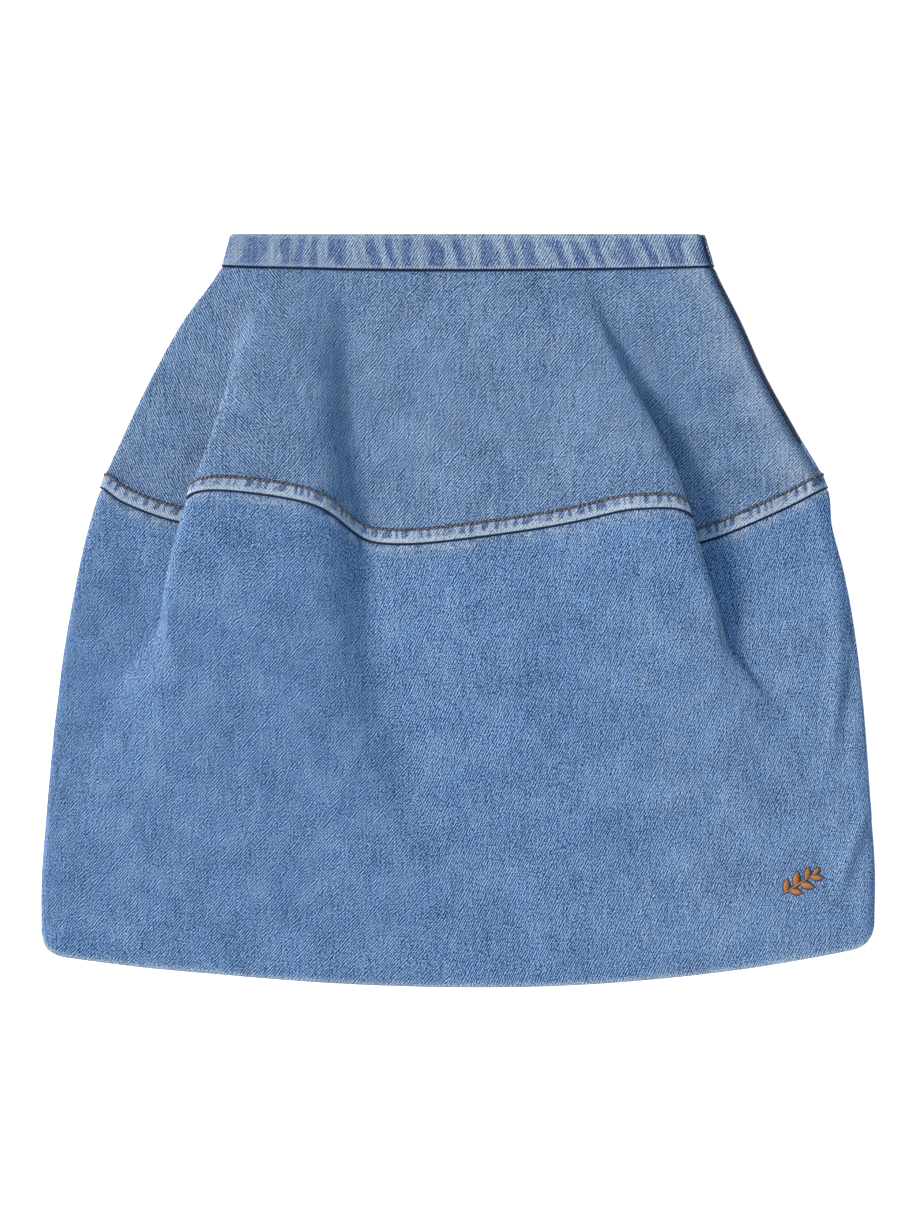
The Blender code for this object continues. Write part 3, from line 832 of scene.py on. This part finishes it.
# %% Yoke, front and back
NEXT_LEFT, NEXT_ZIP = LEFT_SEAM_PLACE + RING, ZIP_PLACE + RING
FRONT_COLUMNS, SIDE_COLUMNS, BACK_COLUMNS = 270, 34, 80
YOKE_EDGE = 1.1  # radius of its folded lower edge
front_places = evenly(YOKE_DROP, LEFT_SEAM_PLACE, ZIP_PLACE - 0.6, FRONT_COLUMNS)
side_places = evenly(YOKE_DROP, ZIP_PLACE + 0.6, RIGHT_SEAM_PLACE, SIDE_COLUMNS)
back_places = evenly(YOKE_DROP, RIGHT_SEAM_PLACE, NEXT_LEFT, BACK_COLUMNS, turning=40.0)
YOKE_ROWS, EDGE_ROWS = 78, 18
yoke_drops = (*np.linspace(4, 136, YOKE_ROWS), *np.linspace(137.2, YOKE_DROP - 0.9, EDGE_ROWS))
yoke_rows = [Row(0.0, 1.3, 0.0), Row(2.0, 0.6, 0.0)] + outside(yoke_drops)
yoke_seam_row = len(yoke_rows) - 1
yoke_rows += folded(YOKE_DROP - 0.9, 1, 0.0, YOKE_EDGE, (2, 5, 8))
yoke_front, yoke_front_grid, yoke_front_above, yoke_front_facing = sheet_of_cloth(
    "yoke_front_cloth", yoke_rows, stretch(LEFT_SEAM_PLACE, ZIP_PLACE, slot_half, front_places),
    yoke_height(front_height), "yoke", yoke_seam_row, yoke_wear, "yoke_front", YOKE_DENIM)
yoke_back, yoke_back_grid, yoke_back_above, yoke_back_facing = sheet_of_cloth(
    "yoke_back_cloth", yoke_rows, stretch(ZIP_PLACE, NEXT_LEFT, slot_half, (*side_places, *back_places)),
    yoke_height(back_height), "yoke", yoke_seam_row, yoke_wear, "yoke_back", YOKE_DENIM)

# %% [markdown]
# ## Lower part
# Its upper edge lies under the yoke's fold, and comes up from it within a few millimetres. At the hem the cloth turns
# round a soft fold and goes 40 mm back up inside, where it is caught by hand, so no stitching shows.

# %% Lower part, front and back
HEM_RADIUS, HEM_TURN, SKIRT_ROWS = 1.55, 40.0, 138
skirt_drops = lerp(YOKE_DROP + 2.2, HEM_DROP, np.linspace(0, 1, SKIRT_ROWS) ** 1.12)
tuck = [Row(YOKE_DROP + step, depth, 0.0) for step, depth in ((-3, 2.6), (-1, 2.0), (0, 1.3), (1, 0.6))]
skirt_rows = tuck + outside(skirt_drops) + folded(HEM_DROP, 1, 0.0, HEM_RADIUS, np.linspace(4, HEM_TURN, 8))
skirt_front, skirt_front_grid, _, skirt_front_facing = sheet_of_cloth(
    "skirt_front_cloth", skirt_rows,
    stretch(LEFT_SEAM_PLACE, RIGHT_SEAM_PLACE, seam_half, (*front_places, ZIP_PLACE, *side_places)),
    skirt_front_height, "lower", 2, skirt_wear_and_painted_light, "skirt_front", SKIRT_DENIM)
skirt_back, *_ = sheet_of_cloth(
    "skirt_back_cloth", skirt_rows, stretch(RIGHT_SEAM_PLACE, NEXT_LEFT, seam_half, back_places),
    back_height, "lower", 2, skirt_wear_and_painted_light, "skirt_back", SKIRT_DENIM)

# %% [markdown]
# ## Waistband
# A straight strip folded double, with no stitching on its face. Its two seams pull against each other, so it puckers
# in slanting waves. It lies half a millimetre proud of the yoke, and a dark line of shadow shows under it, deepened
# by shade painted on the band's lower edge and on the top of the yoke.

# %% Waistband
BAND_COLUMNS, BAND_ROWS, BAND_PUCKER, BAND_EDGE = 430, 24, 16.5, 1.35


def band_height(points, facing, run, above, drop):
    belly = np.sin(np.pi * np.clip(above / BAND_DROP, 0, 1))
    lean = run + 0.22 * above
    height = 0.35 * belly + belly * 0.42 * puckers(lean, BAND_PUCKER / 2, 41) + 0.15 * puckers(run, 4.5, 43) * belly
    return np.where(facing[..., 2] > -0.3, height, -np.abs(height))


band_places = evenly(0.0, ZIP_PLACE + 0.6, NEXT_ZIP - 0.6, BAND_COLUMNS, turning=60.0)
band_rows = [Row(0.0, 0.5, 0.6), Row(0.0, 0.0, 0.75)] + outside(np.linspace(0, -BAND_DROP + 0.4, BAND_ROWS), -0.5)
band_rows += folded(-BAND_DROP + 0.4, -1, -0.5, BAND_EDGE, (3, 8, 13, 18))
band_rows = band_rows[::-1]
waistband, *_ = sheet_of_cloth(
    "waistband_cloth", band_rows, stretch(ZIP_PLACE, NEXT_ZIP, slot_half, band_places),
    band_height, "band", len(band_rows) - 3, no_wear, "waistband", BAND_DENIM)

# %% [markdown]
# ## Topstitching
# One row of brown thread holds the yoke's folded edge down, about 9 mm above it. A stitch is a short length of thread
# that dips into the cloth at both ends, and it repeats all the way round, so it is drawn once, as a pill, and a
# Geometry Nodes tree lays copies of it along the line.

# %% One stitch
THREAD_RADIUS, STITCH_LENGTH, STITCH_GAP, STITCH_TILT = 0.85, 3.4, -0.1, 12.0
LEAST_TILT, MOST_TILT = 0.4, 1.6  # a copy's chance share of the tilt


def pill(name, length, width, height, around=8, steps=6):
    """A rounded length of thread along x."""
    angles = np.linspace(0, 2 * np.pi, around, endpoint=False)
    places = -np.cos(np.linspace(0, np.pi, steps + 1))[1:-1]
    rings = [[(length / 2 * p, width / 2 * (1 - abs(p) ** 4) ** 0.5 * np.cos(a),
               height / 2 * (1 - abs(p) ** 4) ** 0.5 * np.sin(a)) for a in angles] for p in places]
    points = [(-length / 2, 0, 0), *[point for ring in rings for point in ring], (length / 2, 0, 0)]
    faces, last = [], len(points) - 1
    for k in range(around):
        n = (k + 1) % around
        faces.append((0, 1 + n, 1 + k))
        faces.append((last, last - around + k, last - around + n))
        for r in range(len(rings) - 1):
            a = 1 + r * around
            faces.append((a + k, a + n, a + around + n, a + around + k))
    return bpy.data.objects.new(name, smooth_mesh(name, points, faces))


one_stitch = pill("one_stitch", STITCH_LENGTH, 2 * THREAD_RADIUS, 1.6 * THREAD_RADIUS)
print("faces of one stitch:", len(one_stitch.data.polygons))

# %% [markdown]
# The tree marks even steps along a line, puts a copy at each, turns it to follow the line and tilts it by chance, as
# a machine's stitches never lie quite straight. The copies become one plain mesh.

# %% The tree that repeats it
def repeat_along(name):
    """A Geometry Nodes tree that lays one small thing along a curve, turned to follow it, each at a chance tilt."""
    tree = bpy.data.node_groups.new(name, "GeometryNodeTree")
    inputs = {"Curve": "Geometry", "Thing": "Object", "Spacing": "Float", "Tilt": "Float", "Up": "Vector",
              "Seed": "Int", "Material": "Material"}
    for title, kind in inputs.items():
        tree.interface.new_socket(title, in_out="INPUT", socket_type="NodeSocket" + kind)
    tree.interface.new_socket("Geometry", in_out="OUTPUT", socket_type="NodeSocketGeometry")

    def node(kind, settings=None, links=None):
        one = tree.nodes.new(kind)
        for key, value in (settings or {}).items():
            setattr(one, key, value)
        for key, source in (links or {}).items():
            tree.links.new(source, one.inputs[key])
        return one.outputs

    given = node("NodeGroupInput")
    spaced = node("GeometryNodeResampleCurve", {"mode": "LENGTH", "keep_last_segment": False},
                  {"Curve": given["Curve"], "Length": given["Spacing"]})
    tangent = node("GeometryNodeInputTangent")
    follow = node("FunctionNodeAlignRotationToVector", {"axis": "X"}, {"Vector": tangent[0]})
    upright = node("FunctionNodeAlignRotationToVector", {"axis": "Z", "pivot_axis": "X"},
                   {"Rotation": follow[0], "Vector": given["Up"]})
    chance = tree.nodes.new("FunctionNodeRandomValue")
    chance.data_type = "FLOAT"
    least, most = [socket for socket in chance.inputs if socket.type == "VALUE" and socket.enabled][:2]
    least.default_value, most.default_value = LEAST_TILT, MOST_TILT
    tree.links.new(given["Seed"], chance.inputs["Seed"])
    value = next(socket for socket in chance.outputs if socket.enabled)
    tilt = node("ShaderNodeMath", {"operation": "MULTIPLY"}, {0: value, 1: given["Tilt"]})
    angles = node("ShaderNodeCombineXYZ", links={2: tilt[0]})
    to_turn = node("FunctionNodeEulerToRotation", links={0: angles[0]})
    turned_by = node("FunctionNodeRotateRotation", {"rotation_space": "LOCAL"}, {0: upright[0], 1: to_turn[0]})
    thing = node("GeometryNodeObjectInfo", links={"Object": given["Thing"]})
    place = node("GeometryNodeInstanceOnPoints",
                 links={"Points": spaced[0], "Instance": thing["Geometry"], "Rotation": turned_by[0]})
    real = node("GeometryNodeRealizeInstances", links={0: place[0]})
    finish = node("GeometryNodeSetMaterial", links={"Geometry": real[0], "Material": given["Material"]})
    node("NodeGroupOutput", links={0: finish[0]})
    return tree


REPEAT = repeat_along("repeat_along_a_line")
print("nodes in the tree:", len(REPEAT.nodes))


def laid_along(name, points, thing, spacing, tilt, up, seed, material):
    """A plain mesh of one thing repeated along a line of points, in millimetres."""
    curve = bpy.data.curves.new(name + "_line", "CURVE")
    curve.dimensions = "3D"
    line = curve.splines.new("POLY")
    line.points.add(len(points) - 1)
    line.points.foreach_set("co", np.c_[points * MM, np.ones(len(points))].ravel())
    guide = show(curve)
    nodes = guide.modifiers.new("repeat", "NODES")
    nodes.node_group = REPEAT
    values = {"Thing": thing, "Spacing": spacing * MM, "Tilt": float(np.radians(tilt)), "Up": up, "Seed": seed,
              "Material": material}
    for socket in REPEAT.interface.items_tree:
        if socket.in_out == "INPUT" and socket.name in values:
            nodes[socket.identifier] = values[socket.name]
    graph = bpy.context.evaluated_depsgraph_get()
    mesh = bpy.data.meshes.new_from_object(guide.evaluated_get(graph))
    mesh.name = name
    piece = show(mesh)
    bpy.data.objects.remove(guide, do_unlink=True)
    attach(piece, "root")
    print(f"{name}: {len(mesh.polygons)} faces")
    return piece


# %% [markdown]
# The thread is thick brown cotton with a lighter twist, so its colour changes along each stitch. Its line is read
# off the yoke's own grid of points, so it lies on the cloth.

# %% Stitch the yoke down
def thread_finish(name, dark, light):
    material, shader, w = start_material(name, 0.7)
    x, y, _ = w.place()
    twist = w.noise((x + y) / 0.9, (x - y) / 1.8, 1.0).slope(0.45, 0.62)
    twist.mix((*dark, 1.0), (*light, 1.0)).into(shader, "Base Color")
    return material


BROWN_THREAD = thread_finish("brown_thread", (0.016, 0.014, 0.024), (0.195, 0.170, 0.178))


def seam_line(grid, above, facing, height, lift):
    """The line that runs a given way above the seam, read off the grid of the yoke."""
    line = []
    for c in range(grid.shape[1]):
        rows = slice(0, int(above[:, c].argmin()))
        way = above[rows, c]
        point, out = (np.array([np.interp(height, way[::-1], field[rows, c, k][::-1]) for k in range(3)])
                      for field in (grid, facing))
        point = point + lift * unit(out)
        line.append((*point[:2], max(point[2], THREAD_RADIUS)))
    return np.array(line)


stitching = []
for name, grid, above, facing, up in (
    ("topstitch_front", yoke_front_grid, yoke_front_above, yoke_front_facing, (0, 0, 1)),
    ("topstitch_back", yoke_back_grid, yoke_back_above, yoke_back_facing, (0, 0, -1)),
):
    line = seam_line(grid, above, facing, STITCH_UP, 0.55)
    stitches = laid_along(name, line, one_stitch, STITCH_LENGTH + STITCH_GAP, STITCH_TILT, up, 5, BROWN_THREAD)
    stitching.append(stitches)

# %% [markdown]
# ## Zip
# A fine navy zip closes the side. Its tape lies just under the two edges of cloth, and its coil shows as a dark
# bumpy cord between them. The coil's turns repeat along the opening, so the same tree lays them.

# %% Zip tape, coil and slider
TAPE_WIDTH, TAPE_DEPTH, COIL_PITCH = 4.6, 1.4, 2.0
NAVY_TAPE = thread_finish("navy_tape_weave", (0.003, 0.005, 0.018), (0.014, 0.024, 0.072))
zip_drops = np.linspace(-BAND_DROP + 2, ZIP_DROP + 1, 130)
tape_rows = []
for drop in zip_drops:
    places = np.array([beside(ZIP_PLACE, drop, way * TAPE_WIDTH / 2) for way in (-1, -0.5, 0, 0.5, 1)])
    tape_rows.append(skin(drop, places) - TAPE_DEPTH * normals(drop, places))
zip_tape = thick_piece(smooth_mesh("zip_tape", tape_rows, material=NAVY_TAPE), 0.5)
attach(zip_tape, "root")

zip_line = np.array([(skin(d, [ZIP_PLACE]) - 0.2 * normals(d, [ZIP_PLACE]))[0] for d in zip_drops])
sway = 0.35 * waves(zip_drops, 0 * zip_drops, 11, 61)
across = np.array([unit(along(d, [ZIP_PLACE]))[0] for d in zip_drops])
zip_line += sway[:, None] * across
one_turn = pill("one_turn", 2.3, 2.1, 1.6)
zip_coil = laid_along("zip_coil", zip_line, one_turn, COIL_PITCH, 8.0, (0.55, 0.0, 0.83), 9, NAVY_TAPE)
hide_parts("side_zip")

SLIDER_GRID = (12, 9)
slider_rows = []
for k, drop in enumerate(np.linspace(-BAND_DROP + 0.5, -BAND_DROP + 8.0, SLIDER_GRID[0])):
    taper = 1.35 + 0.55 * np.sin(np.pi * k / (SLIDER_GRID[0] - 1))
    places = np.array([beside(ZIP_PLACE, drop, taper * np.cos(a)) for a in np.linspace(np.pi, 0, SLIDER_GRID[1])])
    dome = 0.9 * np.sin(np.linspace(0, np.pi, SLIDER_GRID[1]))[:, None] * np.sin(np.pi * (k + 0.6) / 12.2) ** 0.4
    slider_rows.append(skin(drop, places) + (dome - 0.3) * normals(drop, places))
navy_enamel, enamel_shader, _ = start_material("navy_enamel_finish", 0.35)
enamel_shader.inputs["Base Color"].default_value = (0.008, 0.013, 0.041, 1.0)
slider = thick_piece(smooth_mesh("slider", slider_rows, material=navy_enamel), 0.6)
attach(slider, "root")
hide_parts("zip_slider")

# %% [markdown]
# ## Embroidered sprig
# A small leafy sprig is embroidered low on the right. Its leaves are satin stitch in orange thread, laid side by side
# across each leaf and so a little raised, on a narrow edge of navy thread.

# %% Leaves of satin stitch
SPRIG_AT, SPRIG_TURN, SATIN_PITCH = (238.7, -189.3), 4.0, 0.55
Leaf = namedtuple("Leaf", "x y angle length width")
LEAF_GRID = (17, 9)
LEAVES = (
    Leaf(-14.0, -8.0, 29, 27.0, 1.5),
    Leaf(-11.0, -6.3, 78, 9.5, 4.6),
    Leaf(-8.0, -4.7, -18, 9.0, 4.4),
    Leaf(-4.0, -2.5, 76, 10.5, 5.0),
    Leaf(-0.5, -0.6, -20, 10.0, 4.8),
    Leaf(4.0, 2.0, 72, 8.5, 4.2),
    Leaf(7.0, 3.6, -12, 9.0, 4.2),
    Leaf(9.2, 5.0, 40, 6.5, 3.4),
)


def height_of_cloth(places):
    """Height of the front of the lower part at each place, from the plane through the nearest points of its grid."""
    top = skirt_front_facing[..., 2] > 0.5
    known = skirt_front_grid[top]
    heights = []
    for x, y in places:
        nearest = known[((known[:, :2] - (x, y)) ** 2).sum(axis=1).argsort()[:8]]
        plane = np.c_[nearest[:, :2] - (x, y), np.ones(8)]
        heights.append(np.linalg.lstsq(plane, nearest[:, 2], rcond=None)[0][2])
    return np.array(heights)


def put(x, y, angle, to_x, to_y):
    """Places turned by an angle in degrees and then moved."""
    a = np.radians(angle)
    return to_x + x * np.cos(a) - y * np.sin(a), to_y + x * np.sin(a) + y * np.cos(a)


def embroider(name, leaves, extra, rise, material):
    """All leaves as one mesh, each a low dome that is widened by the extra."""
    points, faces, maps = [], [], []
    for leaf in leaves:
        share, side = np.meshgrid(np.linspace(0, 1, LEAF_GRID[0]), np.linspace(-1, 1, LEAF_GRID[1]), indexing="ij")
        half = (leaf.width / 2 + extra) * np.sin(np.pi * np.clip(share, 0.02, 0.98)) ** 0.75
        ahead, across = share * (leaf.length + 2 * extra) - extra, side * half
        place = put(*put(ahead, across, leaf.angle, leaf.x, leaf.y), SPRIG_TURN, *SPRIG_AT)
        place = np.stack(place, -1)
        dome = rise * np.sqrt(np.clip(1 - side**2, 0, 1)) * np.sin(np.pi * np.clip(share, 0.03, 0.97)) ** 0.5
        z = height_of_cloth(place.reshape(-1, 2)).reshape(share.shape) + dome + 0.12
        faces += (len(points) + np.array(grid_faces(*LEAF_GRID))).tolist()
        points += np.dstack([place, z]).reshape(-1, 3).tolist()
        maps += np.stack([ahead, across], axis=2).reshape(-1, 2).tolist()
    mesh = smooth_mesh(name, points, faces, material)
    give_map(mesh, "thread", np.array(maps)[np.array(faces).ravel()])
    piece = thick_piece(mesh, 0.3)
    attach(piece, "root")
    return piece


def satin(name, dark, light):
    material, shader, w = start_material(name, 0.5)
    ahead, across = w.mapped("thread")
    strands = ((ahead + across * 0.5) * (2 * np.pi / SATIN_PITCH)).sine()
    uneven = w.noise(ahead / 0.9, across / 2.4, 1.0) - 0.5
    light_here = (strands * 0.28 + uneven * 1.1 + 0.5).clamp()
    light_here.mix((*dark, 1.0), (*light, 1.0)).into(shader, "Base Color")
    strands.bump(shader, 0.5, 0.0002)
    return material


# %% [markdown]
# The navy edge is the same set of leaves, a little larger and flatter, and the orange ones lie on it.

# %% Both layers of leaves
ORANGE_SATIN = satin("orange_satin", (0.200, 0.065, 0.015), (0.560, 0.225, 0.051))
NAVY_SATIN = satin("navy_satin", (0.012, 0.019, 0.046), (0.041, 0.054, 0.105))
sprig_edge = embroider("sprig_edge", LEAVES, 0.75, 0.35, NAVY_SATIN)
sprig = embroider("sprig", LEAVES, 0.0, 0.85, ORANGE_SATIN)
print("sprig: a stem and", len(LEAVES) - 1, "leaves,", len(sprig.data.polygons), "faces")

# %% [markdown]
# ## Light, floor and camera
# A large soft lamp low on the left lets the folds' right sides fall into shade, and an even pale sky fills the rest.
# The floor gives off a little light of its own, so that it stays white round the skirt. The camera looks straight
# down through a long lens.

# %% Light, floor and camera
FRAME_PIXELS, PIXEL_MM, FRAME_CENTRE = (917, 1222), 0.696, (0.3, 0.0)
LENS, SENSOR, FOCUS_HEIGHT = 85.0, 36.0, 12.0
SUN_HEIGHT, SUN_BEARING, SUN_SPREAD = 31.0, 184.0, 22.0  # degrees above the table, round from +X, and across
KEY_SHARE = (0.66, 0.55, 0.455)  # of the light on the flat cloth, warmer than the rest
LIGHT = 1.25

sun = bpy.data.lights.new("window", "SUN")
sun.energy, sun.color, sun.angle = LIGHT * np.pi / np.sin(np.radians(SUN_HEIGHT)), KEY_SHARE, np.radians(SUN_SPREAD)
window = show(sun)
up, round_about = np.radians(SUN_HEIGHT), np.radians(SUN_BEARING)
from_where = Vector((np.cos(up) * np.cos(round_about), np.cos(up) * np.sin(round_about), np.sin(up)))
window.rotation_euler = from_where.to_track_quat("Z", "Y").to_euler()
world = bpy.data.worlds.new("pale_sky")
world.use_nodes = True
sky = world.node_tree.nodes["Background"].inputs
sky["Color"].default_value = (*(1 - share for share in KEY_SHARE), 1.0)
sky["Strength"].default_value = LIGHT
bpy.context.scene.world = world
bpy.context.scene.view_settings.view_transform = "Standard"

FLOOR, FLOOR_PALE = 60.0, (0.9, 0.9, 0.9, 1.0)  # metres from its middle to each side
FLOOR_GLOW, GLOW_STRENGTH = (1.0, 0.9, 0.8, 1.0), 0.8
floor_mesh = bpy.data.meshes.new("floor")
corners = [(x * FLOOR, y * FLOOR, 0) for x, y in ((-1, -1), (1, -1), (1, 1), (-1, 1))]
floor_mesh.from_pydata(corners, [], [(0, 1, 2, 3)])
floor = show(floor_mesh)
paper, paper_shader, _ = start_material("pale_paper", 0.95)
for name, value in (("Base Color", FLOOR_PALE), ("Emission Color", FLOOR_GLOW), ("Emission Strength", GLOW_STRENGTH)):
    paper_shader.inputs[name].default_value = value
floor_mesh.materials.append(paper)

camera_data = bpy.data.cameras.new("camera")
camera_data.lens, camera_data.sensor_width = LENS, SENSOR
camera_data.clip_start, camera_data.clip_end = 0.05, 20.0
camera = show(camera_data)
height = FRAME_PIXELS[1] * PIXEL_MM * LENS / SENSOR
camera.location = (FRAME_CENTRE[0] * MM, FRAME_CENTRE[1] * MM, (height + FOCUS_HEIGHT) * MM)
bpy.context.scene.camera = camera
print("camera", round(height + FOCUS_HEIGHT), "mm above the table")

# %% [markdown]
# ## Cut sizes
# Each sheet's cut size and area, what it lies on and what is sewn on it are listed, and each sheet's area on one side
# is printed beside its cut area.

CUTS = (
    (waistband, (0.676, 0.048), 0.0320, ["yoke_front_cloth"], []),
    (yoke_front, (0.62, 0.20), 0.0970, ["yoke_back_cloth"], [stitching[0]]),
    (yoke_back, (0.54, 0.22), 0.0900, ["floor"], [stitching[1]]),
    (skirt_front, (0.70, 0.40), 0.2500, ["skirt_back_cloth"], [sprig_edge, sprig]),
    (skirt_back, (0.60, 0.42), 0.2100, ["floor"], []),
)
for piece, flat, area, rests_on, sewn_on in CUTS:
    mesh = piece.data
    print(piece.name, "one side in square metres:", round(sum(p.area for p in mesh.polygons), 4), "cut:", area)
